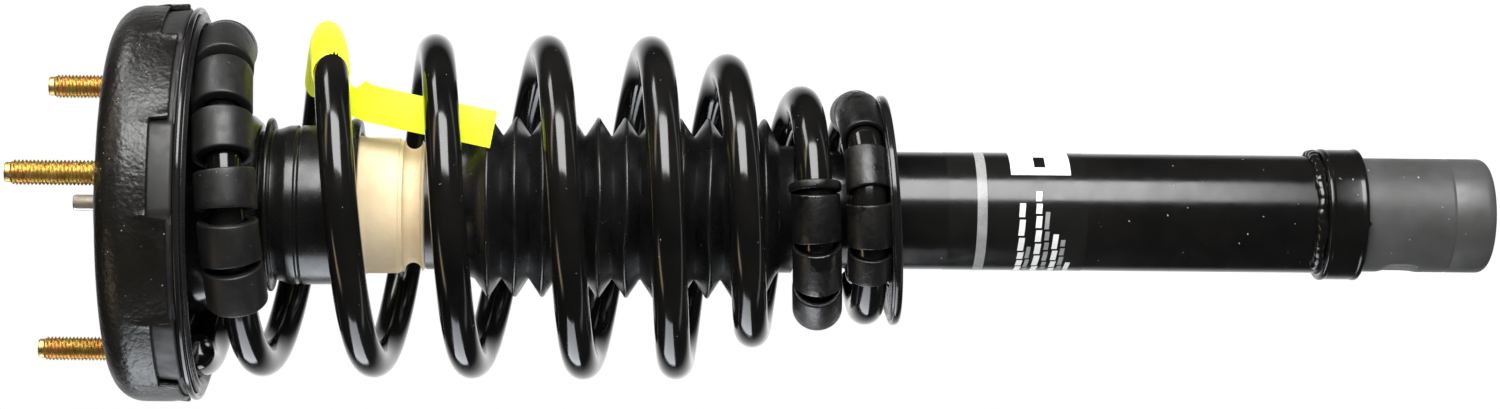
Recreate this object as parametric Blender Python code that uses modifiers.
"""Coil-over strut assembly, at real size in metres.

+Z runs up the strut's axis towards the mounting studs. The origin is the centre of the damper's
lower end face. The pieces hang from an empty at the top of the upper mount's raised centre, so
every height below is measured from there and the spring and the damper lie under it. The strut is
fully extended: the rebound stop on the rod rests against the rod guide.
"""

import math

import bmesh
import bpy
from mathutils import Matrix, Vector

MM = 0.001
GAP = 0.3  # clearance between neighbouring pieces, mm

# Upper mount, all lengths in mm from here on
MOUNT_R = 81.0
MOUNT_SHEET = 2.65
MOUNT_FACE_Z = -6.2
MOUNT_CORNER_R = 12.5
MOUNT_HOLE_R = 24.0
MOUNT_BOSS_R = 31.0
SKIRT_Z = -28.2
TAB_END_Z = -35.5
TAB_COUNT = 6
TAB_FIRST_DEG = 250.3
TAB_GAP_DEG = 28.4
STUD_PITCH_R = 64.5
STUD_R = 4.85
STUD_HEAD_R = 6.0
STUD_HEAD_Z = (-9.5, -12.2)
STUD_TIP_Z = 29.4
STUDS_DEG = (280.5, 40.5, 160.5)

# Coil spring: heights of the wire's centre at every half turn, from one before the wire's end
WIRE_R = 7.0
COIL_Z = (
    -38.5, -41.8, -50.0, -66.4, -91.4, -111.9, -135.3, -152.1, -181.2, -197.6,
    -223.5, -235.3, -255.0, -266.5, -285.4, -293.0, -307.5, -312.3, -307.5,
)
COIL_R = (
    63.5, 63.5, 63.5, 63.5, 63.5, 63.5, 63.5, 63.5, 63.5, 63.5,
    63.5, 63.0, 56.5, 49.6, 43.6, 40.6, 40.0, 40.0, 40.0,
)
COIL_START = -0.12  # in half turns; 0 is on the -X side
COIL_END = 16.25  # the pigtail stops where the strand above still clears it
COIL_STEPS = 12  # points per half turn

# Sleeves pushed over the end coils, as spans in half turns
UPPER_SLEEVE = (0.94, 1.75, 12.2)
LOWER_SLEEVE_1 = (13.43, 14.12, 9.8)
LOWER_SLEEVE_2 = (14.92, 15.82, 9.1)
SLEEVE_BORE_R = 7.8
TAG_WRAP = (2.80, 3.13, 8.5)
TAG_WIDTH = 15.0
TAG_SHEET = 0.55

# Rod, cup, bump stop and boot
ROD_R = 7.0
ROD_THREAD_R = 6.0
ROD_TIP_R = 3.2
ROD_TIP_Z = 12.3
ROD_SHOULDER_Z = -72.0
BOOT_FIRST_PEAK_Z = -158.0
BOOT_PITCH = 11.2
BOOT_PEAKS = 11
BOOT_PEAK_R = 37.1
BOOT_VALLEY_R = 29.3
BOOT_WALL = 1.2

# Damper body
TUBE_R = 24.0
TUBE_BORE_R = 22.0
TUBE_END_R = 23.2
TUBE_TOP_Z = -244.6
COLLAR_Z = (-497.0, -513.3)
COLLAR_R = 26.9
TUBE_END_Z = -549.0
END_Z = -565.9
SEAT_R = 47.0
SEAT_Z = -321.0
SEAT_SHEET = 2.0
SEAT_TILT_DEG = 3.7

FINE = 30
COARSE = 20
SMALL = 12

COLLECTION = None
CUTTERS = None
DATUM = None


def clear_scene():
    for obj in list(bpy.data.objects):
        bpy.data.objects.remove(obj, do_unlink=True)
    for coll in list(bpy.data.collections):
        bpy.data.collections.remove(coll)


def new_collection(name):
    coll = bpy.data.collections.new(name)
    bpy.context.scene.collection.children.link(coll)
    return coll


def new_datum():
    """The empty that every piece hangs from, and that the slide joint's axis runs through."""
    empty = bpy.data.objects.new("mount_face_datum", None)
    empty.location = (0.0, 0.0, -END_Z * MM)
    COLLECTION.objects.link(empty)
    bpy.context.view_layer.update()
    return empty


def material(name, colour, roughness, metallic=0.0):
    mat = bpy.data.materials.new(name)
    mat.use_nodes = True
    bsdf = mat.node_tree.nodes["Principled BSDF"]
    bsdf.inputs["Base Color"].default_value = (*colour, 1.0)
    bsdf.inputs["Roughness"].default_value = roughness
    bsdf.inputs["Metallic"].default_value = metallic
    return mat


def add_object(name, mesh, mat, location=(0.0, 0.0, 0.0)):
    mesh.materials.clear()
    mesh.materials.append(mat)
    obj = bpy.data.objects.new(name, mesh)
    obj.parent = DATUM
    obj.location = location
    COLLECTION.objects.link(obj)
    return obj


def smooth_round(mesh):
    mesh.shade_smooth()
    mesh.set_sharp_from_angle(angle=math.radians(35.0))


def turned_mesh(name, profile, steps, closed):
    """A profile of (radius, height) points in mm that a Screw modifier turns about Z."""
    mesh = bpy.data.meshes.new(name)
    verts = [(r * MM, 0.0, z * MM) for r, z in profile]
    edges = [(i, i + 1) for i in range(len(verts) - 1)]
    if closed:
        edges.append((len(verts) - 1, 0))
    mesh.from_pydata(verts, edges, [])
    return mesh


def turned(name, profile, mat, steps=COARSE, closed=True):
    """A turned piece: a ring from a closed profile, or a solid from one that ends on the axis.

    The profile runs down its outer side, and a ring's comes back up its bore.
    """
    obj = add_object(name, turned_mesh(name, profile, steps, closed), mat)
    screw = obj.modifiers.new("Turn", "SCREW")
    screw.axis = "Z"
    screw.angle = math.tau
    screw.steps = steps
    screw.render_steps = steps
    screw.use_merge_vertices = True
    screw.merge_threshold = 0.00001
    screw.use_smooth_shade = True
    return obj


def arc(centre, radius, start_deg, end_deg, count):
    """Points of a circular arc in the (radius, height) plane."""
    points = []
    for i in range(count + 1):
        a = math.radians(start_deg + (end_deg - start_deg) * i / count)
        points.append((centre[0] + radius * math.cos(a), centre[1] + radius * math.sin(a)))
    return points


def cutter_from(mesh, name, matrix=None):
    obj = bpy.data.objects.new(name, mesh)
    obj.parent = DATUM
    if matrix is not None:
        obj.matrix_world = matrix
    obj.hide_render = True
    obj.display_type = "WIRE"
    CUTTERS.objects.link(obj)
    return obj


def boolean(obj, tool, operation="DIFFERENCE"):
    mod = obj.modifiers.new("Cut" if operation == "DIFFERENCE" else "Join", "BOOLEAN")
    mod.operation = operation
    mod.solver = "EXACT"
    mod.object = tool
    return mod


def cylinder_mesh(name, places, radius, top, bottom, segments=SMALL):
    """Upright cylinders in mm, one at each (x, y) place."""
    bm = bmesh.new()
    for x, y in places:
        bmesh.ops.create_cone(
            bm,
            cap_ends=True,
            segments=segments,
            radius1=radius * MM,
            radius2=radius * MM,
            depth=(top - bottom) * MM,
            matrix=Matrix.Translation((x * MM, y * MM, (top + bottom) / 2 * MM)),
        )
    mesh = bpy.data.meshes.new(name)
    bm.to_mesh(mesh)
    bm.free()
    return mesh


def box_mesh(name, boxes):
    """Boxes in mm, each (centre, size, turn about Z in degrees); the turn is about the axis."""
    bm = bmesh.new()
    for centre, size, turn in boxes:
        matrix = (
            Matrix.Rotation(math.radians(turn), 4, "Z")
            @ Matrix.Translation(Vector(centre) * MM)
            @ Matrix.Diagonal((*(v * MM for v in size), 1.0))
        )
        bmesh.ops.create_cube(bm, size=1.0, matrix=matrix)
    mesh = bpy.data.meshes.new(name)
    bm.to_mesh(mesh)
    bm.free()
    return mesh


def polar(radius, deg):
    return radius * math.cos(math.radians(deg)), radius * math.sin(math.radians(deg))


def through(knots, t):
    """Monotone cubic through knots one half turn apart; the first knot is at t = -1."""
    last = len(knots) - 1
    i = min(max(int(math.floor(t + 1.0)), 0), last - 1)
    u = t + 1.0 - i

    def slope(j):
        if j <= 0 or j >= last:
            return 0.0 if j > 0 else knots[1] - knots[0]
        before = knots[j] - knots[j - 1]
        after = knots[j + 1] - knots[j]
        if before * after <= 0.0:
            return 0.0
        return 2.0 * before * after / (before + after)

    a, b = knots[i], knots[i + 1]
    rise = u * u * (3.0 - 2.0 * u)
    return (
        a + (b - a) * rise + slope(i) * u * (1.0 - u) ** 2 - slope(i + 1) * u * u * (1.0 - u)
    )


def coil_point(t):
    """Centre of the spring wire, in mm, t half turns down from the -X side."""
    a = math.pi * (1.0 - t)
    r = through(COIL_R, t)
    return Vector((r * math.cos(a), r * math.sin(a), through(COIL_Z, t)))


def bar_point(t):
    """The point at t of the bar through the coil's sampled points, so that sleeves fit the wire."""
    step = math.floor(t * COIL_STEPS)
    u = t * COIL_STEPS - step
    return coil_point(step / COIL_STEPS).lerp(coil_point((step + 1) / COIL_STEPS), u)


def wire(name, start, end, radius, mat):
    """A round bar that follows the spring wire from start to end, as a curve with filled caps."""
    first = math.floor(start * COIL_STEPS + 0.5) + 1
    last = math.ceil(end * COIL_STEPS - 0.5) - 1
    spans = [start] + [i / COIL_STEPS for i in range(first, last + 1)] + [end]
    points = [bar_point(t) for t in spans]
    data = bpy.data.curves.new(name, "CURVE")
    data.dimensions = "3D"
    data.bevel_depth = radius * MM
    data.bevel_resolution = 2
    data.render_resolution_u = 0
    data.use_fill_caps = True
    data.twist_mode = "Z_UP"
    spline = data.splines.new("POLY")
    spline.points.add(len(points) - 1)
    for point, co in zip(spline.points, points):
        point.co = (*(co * MM), 1.0)
    data.materials.append(mat)
    obj = bpy.data.objects.new(name, data)
    obj.parent = DATUM
    COLLECTION.objects.link(obj)
    return obj


def as_mesh(curve):
    """The curve's mesh, with its caps welded on; the curve goes."""
    bpy.context.view_layer.update()
    evaluated = curve.evaluated_get(bpy.context.evaluated_depsgraph_get())
    mesh = bpy.data.meshes.new_from_object(evaluated)
    bm = bmesh.new()
    bm.from_mesh(mesh)
    bmesh.ops.remove_doubles(bm, verts=bm.verts, dist=0.00001)
    bm.to_mesh(mesh)
    bm.free()
    matrix = curve.matrix_world.copy()
    name = curve.name
    bpy.data.objects.remove(curve, do_unlink=True)
    return name, mesh, matrix


def wire_cutter(name, start, end, radius):
    _, mesh, matrix = as_mesh(wire(name, start, end, radius, MATS["rubber"]))
    return cutter_from(mesh, name, matrix)


def sleeve(name, span, mat):
    """A soft tube over the spring wire, bored out with a longer bar of the wire's path."""
    start, end, radius = span
    label, mesh, matrix = as_mesh(wire(name, start, end, radius, mat))
    smooth_round(mesh)
    obj = add_object(label, mesh, mat)
    obj.matrix_world = matrix
    reach = 1.0 / COIL_STEPS
    boolean(obj, wire_cutter(name + "_bore", start - reach, end + reach, SLEEVE_BORE_R))
    return obj


def mount_cap():
    """Pressed steel shell: a raised centre, a rounded shoulder and six crimped tabs round its skirt."""
    centre = (MOUNT_R - MOUNT_CORNER_R, MOUNT_FACE_Z - MOUNT_CORNER_R)
    inner_r = MOUNT_R - MOUNT_SHEET
    under = MOUNT_FACE_Z - MOUNT_SHEET
    profile = [
        (MOUNT_HOLE_R, 0.0),
        (MOUNT_BOSS_R - 1.4, 0.0),
        (MOUNT_BOSS_R - 0.3, -0.8),
        (MOUNT_BOSS_R + 1.0, MOUNT_FACE_Z + 1.0),
        (MOUNT_BOSS_R + 2.2, MOUNT_FACE_Z),
    ]
    profile += arc(centre, MOUNT_CORNER_R, 90.0, 0.0, 6)
    profile += [(MOUNT_R, TAB_END_Z + 4.5), (MOUNT_R - 0.5, TAB_END_Z), (inner_r, TAB_END_Z)]
    profile += arc(centre, MOUNT_CORNER_R - MOUNT_SHEET, 0.0, 90.0, 6)
    profile += [
        (MOUNT_BOSS_R + 0.9, under),
        (MOUNT_BOSS_R - 1.4, under + 1.2),
        (MOUNT_BOSS_R - 2.6, -MOUNT_SHEET),
        (MOUNT_HOLE_R, -MOUNT_SHEET),
    ]
    cap = turned("mount_cap", profile, MATS["black_paint"], FINE)
    width = 2.0 * MOUNT_R * math.sin(math.radians(TAB_GAP_DEG / 2.0))
    height = SKIRT_Z - TAB_END_Z + 1.0
    first = TAB_FIRST_DEG + 180.0 / TAB_COUNT
    notches = [
        ((MOUNT_R - 1.0, 0.0, SKIRT_Z - height / 2.0), (12.0, width, height), first + 60.0 * i)
        for i in range(TAB_COUNT)
    ]
    boolean(cap, cutter_from(box_mesh("notches", notches), "notches"))
    places = [polar(STUD_PITCH_R, deg) for deg in STUDS_DEG]
    holes = cylinder_mesh("stud_holes", places, STUD_R + GAP, MOUNT_FACE_Z + 4.0, under - 4.0)
    boolean(cap, cutter_from(holes, "stud_holes"))


def mount_studs():
    """Headed studs pressed up through the shell, their heads bedded in the rubber."""
    head_top, head_bottom = STUD_HEAD_Z
    for i, deg in enumerate(STUDS_DEG):
        profile = [
            (0.0, STUD_TIP_Z),
            (STUD_R - 1.0, STUD_TIP_Z),
            (STUD_R, STUD_TIP_Z - 1.0),
            (STUD_R, head_top),
            (STUD_HEAD_R, head_top),
            (STUD_HEAD_R, head_bottom),
            (0.0, head_bottom),
        ]
        stud = turned(f"mount_stud_{i + 1}", profile, MATS["yellow_zinc"], SMALL, closed=False)
        x, y = polar(STUD_PITCH_R, deg)
        stud.location = (x * MM, y * MM, 0.0)


def mount_rubber():
    """Rubber cushion bonded between the shell and the core, with a band below the skirt."""
    centre = (MOUNT_R - MOUNT_CORNER_R, MOUNT_FACE_Z - MOUNT_CORNER_R)
    shell = MOUNT_CORNER_R - MOUNT_SHEET - GAP
    edge_r = MOUNT_R - MOUNT_SHEET - GAP
    under = MOUNT_FACE_Z - MOUNT_SHEET - GAP
    profile = [(MOUNT_BOSS_R - 4.0, under), (MOUNT_BOSS_R + 0.9, under)]
    profile += arc(centre, shell, 90.0, 0.0, 6)
    profile += [
        (edge_r, -37.5),
        (75.6, -37.5),
        (75.6, -30.1),
        (30.0, -30.1),
        (12.3, -26.0),
        (12.3, -18.3),
        (24.3, -18.3),
        (24.3, -14.7),
        (12.3, -14.7),
        (12.3, -13.4),
        (20.0, -11.0),
    ]
    rubber = turned("mount_rubber", profile, MATS["rubber"], FINE)
    places = [polar(STUD_PITCH_R, deg) for deg in STUDS_DEG]
    pockets = cylinder_mesh(
        "stud_pockets", places, STUD_HEAD_R + 0.4, MOUNT_FACE_Z, STUD_HEAD_Z[1] - 0.4
    )
    boolean(rubber, cutter_from(pockets, "stud_pockets"))


def mount_core():
    """Steel sleeve with a flange, clamped between the nut's washer and the spring seat."""
    profile = [
        (12.0, -12.6),
        (12.0, -15.0),
        (24.0, -15.0),
        (24.0, -18.0),
        (12.0, -18.0),
        (12.0, -62.9),
        (6.4, -62.9),
        (6.4, -12.6),
    ]
    turned("mount_core", profile, MATS["plated_steel"], COARSE)
    washer = [(14.0, -10.3), (14.0, -12.3), (6.4, -12.3), (6.4, -10.3)]
    turned("rod_washer", washer, MATS["plated_steel"], COARSE)


def hexagon_nut(name, flats, top, bottom, bore, mat):
    """Hexagon prism with a round bore, its points at the corners of a six-sided cone."""
    corner_r = flats / math.sqrt(3.0)
    mesh = cylinder_mesh(name, [(0.0, 0.0)], corner_r, top, bottom, 6)
    nut = add_object(name, mesh, mat)
    hole = cylinder_mesh(name + "_bore", [(0.0, 0.0)], bore, top + 2.0, bottom - 2.0)
    boolean(nut, cutter_from(hole, name + "_bore"))
    return nut


def piston_rod():
    """Rod with a threaded upper end, a small wrench tip and a stepped lower end."""
    profile = [
        (0.0, ROD_TIP_Z),
        (ROD_TIP_R - 0.5, ROD_TIP_Z),
        (ROD_TIP_R, ROD_TIP_Z - 0.5),
        (ROD_TIP_R, 1.4),
        (ROD_THREAD_R - 0.8, 1.4),
        (ROD_THREAD_R, 0.6),
        (ROD_THREAD_R, ROD_SHOULDER_Z),
        (ROD_R, ROD_SHOULDER_Z),
        (ROD_R, -281.0),
        (5.0, -281.0),
        (5.0, -307.0),
        (0.0, -307.0),
    ]
    turned("piston_rod", profile, MATS["chrome_rod"], COARSE, closed=False)
    hexagon_nut("rod_nut", 18.0, -0.9, -10.0, ROD_THREAD_R + GAP, MATS["plated_steel"])


def upper_spring_seat():
    """Pressed seat: a rolled rim under the mount, a flat for the coil and a cone down to its hub."""
    profile = [
        (75.2, -30.4),
        (75.2, -37.8),
        (79.6, -37.8),
        (80.2, -38.5),
        (80.2, -40.3),
        (78.6, -40.3),
        (78.4, -39.8),
        (73.4, -39.8),
        (73.4, -32.6),
        (49.8, -32.6),
        (46.0, -36.0),
        (36.2, -62.0),
        (33.0, -65.4),
        (6.6, -65.4),
        (6.6, -63.2),
        (31.8, -63.2),
        (34.2, -60.8),
        (44.0, -34.6),
        (48.2, -30.4),
    ]
    turned("upper_spring_seat", profile, MATS["black_paint"], FINE)


def upper_spring_insulator():
    """Rubber ring under the seat; its lower face is a ramp that follows the first half coil.

    A thin skirt runs down between the wire and the seat's wall and ends in the lip under the rim.
    """
    stop, ramp_end, clear = -0.16, 0.90, WIRE_R + GAP
    flat_z, steps = -36.0, 16
    angles = []
    for i in range(steps):
        angles.append((ramp_end - (ramp_end - stop) * i / (steps - 1), True))
    for i in range(steps):
        angles.append((stop - 0.01 - (2.0 - 0.02 - (ramp_end - stop)) * i / (steps - 1), False))
    bm = bmesh.new()
    rings = []
    for t, on_ramp in angles:
        under = coil_point(max(t, COIL_START)).z + clear if on_ramp else flat_z
        section = [
            (72.7, -32.9),
            (72.7, -40.1),
            (77.6, -40.1),
            (77.6, -41.2),
            (75.2, -41.2),
            (75.2, -42.0),
            (73.6, -42.0),
            (71.5, -39.4),
            (71.5, under),
            (50.5, under),
            (50.5, -32.9),
        ]
        a = math.pi * (1.0 - t)
        rings.append(
            [bm.verts.new((r * math.cos(a) * MM, r * math.sin(a) * MM, z * MM)) for r, z in section]
        )
    for ring, after in zip(rings, rings[1:] + rings[:1]):
        for j in range(len(ring)):
            k = (j + 1) % len(ring)
            bm.faces.new((ring[j], ring[k], after[k], after[j]))
    bmesh.ops.recalc_face_normals(bm, faces=bm.faces)
    mesh = bpy.data.meshes.new("upper_spring_insulator")
    bm.to_mesh(mesh)
    bm.free()
    smooth_round(mesh)
    add_object("upper_spring_insulator", mesh, MATS["rubber"])


def bump_stop_cup():
    """Moulded cup that holds the top of the bump stop, with a disc at each end."""
    profile = [
        (30.2, -65.7),
        (30.2, -67.5),
        (34.9, -67.5),
        (35.5, -68.0),
        (35.5, -69.6),
        (34.9, -70.1),
        (30.2, -70.6),
        (31.6, -73.6),
        (32.5, -76.0),
        (32.5, -101.5),
        (35.5, -102.2),
        (35.5, -105.0),
        (34.9, -105.8),
        (29.8, -105.8),
        (29.8, -76.0),
        (28.2, -72.4),
        (24.0, -69.5),
        (6.6, -69.5),
        (6.6, -65.7),
    ]
    turned("bump_stop_cup", profile, MATS["black_plastic"], COARSE)
    washer = [(14.0, -69.8), (14.0, -71.7), (6.4, -71.7), (6.4, -69.8)]
    turned("cup_washer", washer, MATS["plated_steel"], COARSE)


def bump_stop():
    """Foamed bump stop round the rod, waisted where the boot's neck grips it."""
    profile = [
        (24.0, -72.0),
        (27.8, -73.6),
        (29.4, -77.0),
        (29.4, -100.0),
        (27.6, -106.4),
        (27.6, -122.0),
        (26.8, -122.4),
    ]
    profile += arc((26.8, -127.2), 3.6, 90.0, 270.0, 6)
    profile += [
        (25.6, -131.4),
        (23.6, -133.0),
        (23.6, -147.0),
        (22.0, -150.0),
        (18.0, -157.0),
        (ROD_R + 0.5, -157.0),
        (ROD_R + 0.5, -72.0),
    ]
    turned("bump_stop", profile, MATS["foam"], COARSE)


def dust_boot():
    """Bellows from the bump stop's waist down to a cuff on the tube."""
    outer = [(25.9, -132.6), (25.9, -137.0), (27.2, -146.0), (29.6, -152.4)]
    for i in range(BOOT_PEAKS):
        z = BOOT_FIRST_PEAK_Z - BOOT_PITCH * i
        outer.append((BOOT_PEAK_R, z))
        if i < BOOT_PEAKS - 1:
            outer.append((BOOT_VALLEY_R, z - BOOT_PITCH / 2.0))
    last = BOOT_FIRST_PEAK_Z - BOOT_PITCH * (BOOT_PEAKS - 1)
    outer += [(28.4, last - 4.8), (26.0, last - 6.6), (26.0, last - 12.0)]
    # the fold's inner face is moved in by more than the wall, because its sides are steep
    inset = BOOT_WALL * 1.25
    inner = []
    for r, z in reversed(outer):
        inner.append((r - inset, z))
    turned("dust_boot", outer + inner, MATS["boot"], COARSE)


def coil_spring():
    """Round wire coil with a flat first turn and a small pigtail at its lower end."""
    wire("coil_spring", COIL_START, COIL_END, WIRE_R, MATS["gloss_paint"])


def id_tag():
    """Adhesive tag wrapped round the wire, with a long tail in front of the boot."""
    tag = sleeve("id_tag", TAG_WRAP, MATS["tag"])
    # stations of the tail: centre in mm, then the direction of its width
    stations = (
        ((56.2, -13.2, -98.9), (0.23, 0.97, 0.14)),
        ((52.3, -12.2, -100.2), (0.30, 0.94, 0.12)),
        ((47.6, -15.0, -101.8), (0.62, 0.77, 0.1)),
        ((43.8, -19.4, -104.6), (0.88, 0.45, 0.1)),
        ((41.4, -22.4, -109.5), (0.98, 0.15, 0.1)),
        ((39.6, -24.6, -117.0), (1.0, 0.03, 0.1)),
        ((37.2, -26.6, -128.0), (1.0, 0.0, 0.1)),
        ((33.9, -29.0, -145.0), (1.0, 0.0, 0.1)),
        ((30.8, -30.6, -160.5), (1.0, 0.0, 0.1)),
    )
    bm = bmesh.new()
    rings = []
    for i, (centre, across) in enumerate(stations):
        before = Vector(stations[max(i - 1, 0)][0])
        after = Vector(stations[min(i + 1, len(stations) - 1)][0])
        along = (after - before).normalized()
        side = Vector(across)
        side = (side - along * side.dot(along)).normalized() * TAG_WIDTH / 2.0
        lift = along.cross(side).normalized() * TAG_SHEET / 2.0
        centre = Vector(centre)
        corners = (centre + side + lift, centre + side - lift, centre - side - lift, centre - side + lift)
        rings.append([bm.verts.new(c * MM) for c in corners])
    for ring, after in zip(rings, rings[1:]):
        for j in range(4):
            k = (j + 1) % 4
            bm.faces.new((ring[j], ring[k], after[k], after[j]))
    bm.faces.new(rings[0])
    bm.faces.new(rings[-1])
    bmesh.ops.recalc_face_normals(bm, faces=bm.faces)
    mesh = bpy.data.meshes.new("tag_tail")
    bm.to_mesh(mesh)
    bm.free()
    # the tail meets the wrap's thin wall, where the exact solver returns nothing
    boolean(tag, cutter_from(mesh, "tag_tail"), "UNION").solver = "MANIFOLD"


def piston_parts():
    """Rebound stop, piston, its ring and its nut on the rod's lower end."""
    stop = [(12.0, -270.4), (12.0, -277.0), (7.3, -277.0), (7.3, -270.4)]
    turned("rebound_stop", stop, MATS["polymer"], SMALL)
    piston = [
        (14.6, -281.3),
        (14.6, -286.0),
        (13.4, -286.0),
        (13.4, -292.0),
        (14.6, -292.0),
        (14.6, -297.0),
        (5.3, -297.0),
        (5.3, -281.3),
    ]
    turned("piston", piston, MATS["sintered"], COARSE)
    ring = [(15.0, -286.3), (15.0, -291.7), (13.7, -291.7), (13.7, -286.3)]
    turned("piston_ring", ring, MATS["polymer"], COARSE)
    hexagon_nut("piston_nut", 14.0, -297.3, -304.5, 5.3, MATS["plated_steel"])


def damper_tubes():
    """Outer tube with its rolled-over top, the inner tube and the parts that close them."""
    tube = [
        (22.6, TUBE_TOP_Z),
        (TUBE_R, TUBE_TOP_Z - 1.6),
        (TUBE_R, COLLAR_Z[1] + 0.6),
        (TUBE_END_R, COLLAR_Z[1] + 0.2),
        (TUBE_END_R, TUBE_END_Z),
        (TUBE_BORE_R - 0.6, TUBE_END_Z),
        (TUBE_BORE_R, TUBE_END_Z + 1.0),
        (TUBE_BORE_R, TUBE_TOP_Z - 2.0),
        (17.0, TUBE_TOP_Z - 2.0),
        (17.0, TUBE_TOP_Z),
    ]
    turned("reserve_tube", tube, MATS["gloss_paint"], FINE)
    cap = [
        (24.4, -241.4),
        (25.9, -242.8),
        (25.9, -256.0),
        (24.3, -256.0),
        (24.3, -244.3),
        (8.4, -244.3),
        (8.4, -241.4),
    ]
    turned("tube_cap", cap, MATS["plated_steel"], COARSE)
    seal = [(21.6, -246.9), (21.6, -249.7), (7.3, -249.7), (7.3, -246.9)]
    turned("oil_seal", seal, MATS["rubber"], COARSE)
    guide = [(21.6, -250.0), (21.6, -264.0), (14.9, -264.0), (14.9, -270.0), (7.3, -270.0)]
    guide += [(7.3, -250.0)]
    turned("rod_guide", guide, MATS["sintered"], COARSE)
    inner = [(17.0, -264.3), (17.0, -536.0), (15.3, -536.0), (15.3, -264.3)]
    turned("pressure_tube", inner, MATS["bare_steel"], COARSE)
    valve = [(14.9, -531.0), (14.9, -536.3), (18.0, -536.3), (18.0, -546.0), (3.0, -546.0)]
    valve += [(3.0, -531.0)]
    turned("base_valve", valve, MATS["sintered"], COARSE)
    seam = TUBE_END_Z - GAP
    end = [(0.0, seam + 3.0), (21.0, seam + 3.0), (21.0, seam), (TUBE_END_R, seam)]
    end += arc((TUBE_END_R - 4.0, END_Z + 4.0), 4.0, 0.0, -90.0, 5)
    end += [(0.0, END_Z)]
    turned("end_cap", end, MATS["bare_steel"], FINE, closed=False)


def stop_collar():
    """Collar round the tube that sets how far it enters its clamp, notched along its lower edge."""
    top, bottom = COLLAR_Z
    profile = [
        (COLLAR_R - 1.2, top),
        (COLLAR_R, top - 1.4),
        (COLLAR_R, bottom + 0.6),
        (COLLAR_R - 0.6, bottom),
        (TUBE_R + GAP, bottom),
        (TUBE_R + GAP, top),
    ]
    collar = turned("stop_collar", profile, MATS["gloss_paint"], FINE)
    notches = [((COLLAR_R - 1.0, 0.0, bottom), (8.0, 6.0, 5.0), deg) for deg in (260.0, 20.0, 140.0)]
    boolean(collar, cutter_from(box_mesh("collar_notches", notches), "collar_notches"))


def seat_frame():
    """Where the tilted lower seat sits: its +X side is the higher one."""
    return Matrix.Translation((0.0, 0.0, SEAT_Z * MM)) @ Matrix.Rotation(
        math.radians(-SEAT_TILT_DEG), 4, "Y"
    )


def lower_spring_seat():
    """Pressed seat with a raised hub that is welded round the tube, and its rubber pad."""
    sheet = SEAT_SHEET
    profile = [
        (SEAT_R, 1.4),
        (SEAT_R, -0.6),
        (SEAT_R - 0.8, -sheet),
        (20.0, -sheet),
        (20.0, 18.0),
        (28.0, 18.0),
        (29.6, 16.2),
        (29.6, 1.0),
        (30.8, 0.0),
        (SEAT_R - 1.6, 0.0),
        (SEAT_R - 1.2, 1.4),
    ]
    seat = turned("lower_spring_seat", ordered(profile), MATS["gloss_paint"], FINE)
    seat.matrix_local = seat_frame()
    bore = cylinder_mesh("seat_bore", [(0.0, 0.0)], TUBE_R + GAP, -280.0, -340.0, FINE)
    boolean(seat, cutter_from(bore, "seat_bore"))
    pad_profile = [
        (SEAT_R - 2.2, 0.3),
        (31.2, 0.3),
        (31.2, 3.6),
        (SEAT_R - 3.2, 3.6),
        (SEAT_R - 2.2, 2.6),
    ]
    pad = turned("lower_spring_pad", ordered(pad_profile), MATS["rubber"], FINE)
    pad.matrix_local = seat_frame()
    boolean(pad, wire_cutter("pad_groove", 14.70, COIL_END + 0.12, WIRE_R + GAP + 0.1))
    start, end, radius = LOWER_SLEEVE_2
    boolean(pad, wire_cutter("pad_sleeve_groove", start - 0.03, end + 0.03, radius + GAP + 0.1))


def ordered(profile):
    """The same closed profile, turned so that it runs down its outer side."""
    area = 0.0
    for (r0, z0), (r1, z1) in zip(profile, profile[1:] + profile[:1]):
        area += r0 * z1 - r1 * z0
    return profile if area < 0.0 else profile[::-1]


def build():
    mount_cap()
    mount_studs()
    mount_rubber()
    mount_core()
    piston_rod()
    upper_spring_seat()
    upper_spring_insulator()
    sleeve("upper_spring_sleeve", UPPER_SLEEVE, MATS["sleeve"])
    bump_stop_cup()
    bump_stop()
    dust_boot()
    coil_spring()
    id_tag()
    piston_parts()
    damper_tubes()
    stop_collar()
    lower_spring_seat()
    sleeve("lower_sleeve_1", LOWER_SLEEVE_1, MATS["sleeve"])
    sleeve("lower_sleeve_2", LOWER_SLEEVE_2, MATS["sleeve"])


clear_scene()
COLLECTION = new_collection("strut_assembly")
CUTTERS = new_collection("cutters")
DATUM = new_datum()
MATS = {
    "black_paint": material("black_paint", (0.02, 0.02, 0.021), 0.4),
    "gloss_paint": material("gloss_paint", (0.012, 0.012, 0.013), 0.15),
    "yellow_zinc": material("yellow_zinc", (0.78, 0.58, 0.22), 0.3, 1.0),
    "rubber": material("rubber", (0.025, 0.025, 0.026), 0.7),
    "sleeve": material("sleeve", (0.03, 0.03, 0.03), 0.6),
    "plated_steel": material("plated_steel", (0.6, 0.6, 0.58), 0.35, 1.0),
    "chrome_rod": material("chrome_rod", (0.75, 0.75, 0.76), 0.12, 1.0),
    "black_plastic": material("black_plastic", (0.015, 0.015, 0.016), 0.3),
    "foam": material("foam", (0.8, 0.62, 0.4), 0.8),
    "boot": material("boot", (0.018, 0.018, 0.019), 0.45),
    "tag": material("tag", (0.85, 0.9, 0.05), 0.5),
    "polymer": material("polymer", (0.1, 0.1, 0.1), 0.5),
    "sintered": material("sintered", (0.35, 0.35, 0.36), 0.5, 1.0),
    "bare_steel": material("bare_steel", (0.42, 0.42, 0.41), 0.5, 1.0),
}
build()
